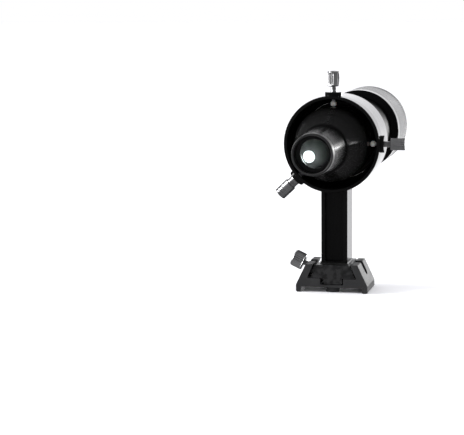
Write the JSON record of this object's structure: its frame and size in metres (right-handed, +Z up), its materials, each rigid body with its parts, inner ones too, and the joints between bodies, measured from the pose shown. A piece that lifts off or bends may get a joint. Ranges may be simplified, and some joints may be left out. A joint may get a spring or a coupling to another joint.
{
  "type": "finder scope",
  "caption": "Straight-through finder scope in an adjustable bracket: tapered eyepiece, knurled objective cell, alignment screws, spring plunger and a clamped dovetail shoe.",
  "frame": {"origin": "centre of the shoe's mounting face, level with the bottoms of its two legs, midway between its two screw holes", "axes": "+Z up from the telescope towards the finder, +Y along the optical axis from the eyepiece towards the sky, +X to the right when looking through the eyepiece"},
  "size_m": [0.0898, 0.2272, 0.1523],
  "materials": {
    "gloss_black": "gloss black anodised and lacquered aluminium",
    "cast_black": "gloss black paint over a die casting",
    "shoe_black": "satin black paint over a die casting",
    "screw_steel": "nickel-plated steel with a knurled knob",
    "pin_steel": "ground steel",
    "spring_steel": "spring wire",
    "nylon": "natural nylon",
    "rubber": "black nitrile and soft eyecup rubber",
    "matte_inside": "matt black anodised inner ring",
    "crown_glass": "polished, blue-green antireflection coat",
    "eye_glass": "polished, magenta-green antireflection coat",
    "wire": "blackened wire"
  },
  "bodies": {
    "shoe": {"dovetail_shoe": "shoe_black"},
    "clamp_pad": {"clamp_tip": "nylon"},
    "clamp_knob": {"clamp_screw": "screw_steel"},
    "bracket_casting": {"bracket": "cast_black", "plunger_housing": "screw_steel", "plunger_plug": "pin_steel", "plunger_spring": "spring_steel"},
    "plunger": {"plunger_pin": "pin_steel"},
    "top_tip": {"top_screw_tip": "nylon"},
    "top_knob": {"top_screw": "screw_steel"},
    "side_tip": {"side_screw_tip": "nylon"},
    "side_knob": {"side_screw": "screw_steel"},
    "seal": {"o_ring": "rubber"},
    "telescope": {"main_tube": "gloss_black", "rear_cell": "gloss_black", "eyepiece_barrel": "gloss_black", "eyecup": "rubber", "reticle_ring": "matte_inside", "crosshair_wires": "wire", "field_lens": "eye_glass", "eyepiece_spacer": "matte_inside", "eye_lens": "eye_glass", "eyepiece_retainer": "matte_inside"},
    "focus_lock": {"lock_ring": "gloss_black"},
    "lenses": {"flint_lens": "crown_glass", "lens_spacer": "matte_inside", "crown_lens": "crown_glass"},
    "objective": {"objective_cell": "gloss_black", "lens_retainer": "matte_inside"}
  },
  "joints": [
    {"name": "foot_slide", "type": "slide", "parent": "shoe", "child": "bracket_casting", "axis": [0, 1, 0], "range_m": [-0.031, 0.031]},
    {"name": "clamp_travel", "type": "slide", "parent": "shoe", "child": "clamp_pad", "axis": [-0.903, 0, 0.4297], "range_m": [0, 0.004]},
    {"name": "clamp_turn", "type": "hinge", "parent": "clamp_pad", "child": "clamp_knob", "pos_m": [-0.02025, 0.0082, 0.01508], "axis": [-0.903, 0, 0.4297], "range_deg": [0, 2060]},
    {"name": "tube_yaw", "type": "hinge", "parent": "bracket_casting", "child": "seal", "pos_m": [0.0008, 0.018, 0.103], "axis": [0, 0, 1], "range_deg": [-1.5, 1.5]},
    {"name": "tube_pitch", "type": "hinge", "parent": "seal", "child": "telescope", "pos_m": [0.0008, 0.018, 0.103], "axis": [1, 0, 0], "range_deg": [-1.5, 1.5]},
    {"name": "top_screw_travel", "type": "slide", "parent": "bracket_casting", "child": "top_tip", "axis": [0, 0, -1], "range_m": [-0.0008, 0.0008]},
    {"name": "top_screw_turn", "type": "hinge", "parent": "top_tip", "child": "top_knob", "pos_m": [0.0008, -0.011, 0.103], "axis": [0, 0, 1], "range_deg": [-392, 392]},
    {"name": "side_screw_travel", "type": "slide", "parent": "bracket_casting", "child": "side_tip", "axis": [-1, 0, 0], "range_m": [-0.0008, 0.0008]},
    {"name": "side_screw_turn", "type": "hinge", "parent": "side_tip", "child": "side_knob", "pos_m": [0.0008, -0.011, 0.103], "axis": [1, 0, 0], "range_deg": [-392, 392]},
    {"name": "plunger_travel", "type": "slide", "parent": "bracket_casting", "child": "plunger", "axis": [-0.7254, 0, -0.6884], "range_m": [-0.0006, 0.0006], "deforming": ["plunger_spring"]},
    {"name": "lock_ring_turn", "type": "hinge", "parent": "telescope", "child": "focus_lock", "pos_m": [0.0008, 0, 0.103], "axis": [0, 1, 0], "range_deg": [-360, 0]},
    {"name": "focus_travel", "type": "slide", "parent": "telescope", "child": "lenses", "axis": [0, 1, 0], "range_m": [0, 0.005]},
    {"name": "focus_turn", "type": "hinge", "parent": "lenses", "child": "objective", "pos_m": [0.0008, 0, 0.103], "axis": [0, 1, 0], "range_deg": [0, 2402]}
  ],
  "couplings": [
    {"joint": "clamp_turn", "follows": "clamp_travel", "rad_per_m": 8976},
    {"joint": "top_screw_travel", "follows": "tube_pitch", "m_per_rad": 0.029},
    {"joint": "top_screw_turn", "follows": "tube_pitch", "ratio": -260.3},
    {"joint": "side_screw_travel", "follows": "tube_yaw", "m_per_rad": -0.029},
    {"joint": "side_screw_turn", "follows": "tube_yaw", "ratio": 260.3},
    {"joint": "plunger_travel", "follows": "tube_pitch", "m_per_rad": 0.01996},
    {"joint": "focus_turn", "follows": "focus_travel", "rad_per_m": 8377.6}
  ]
}
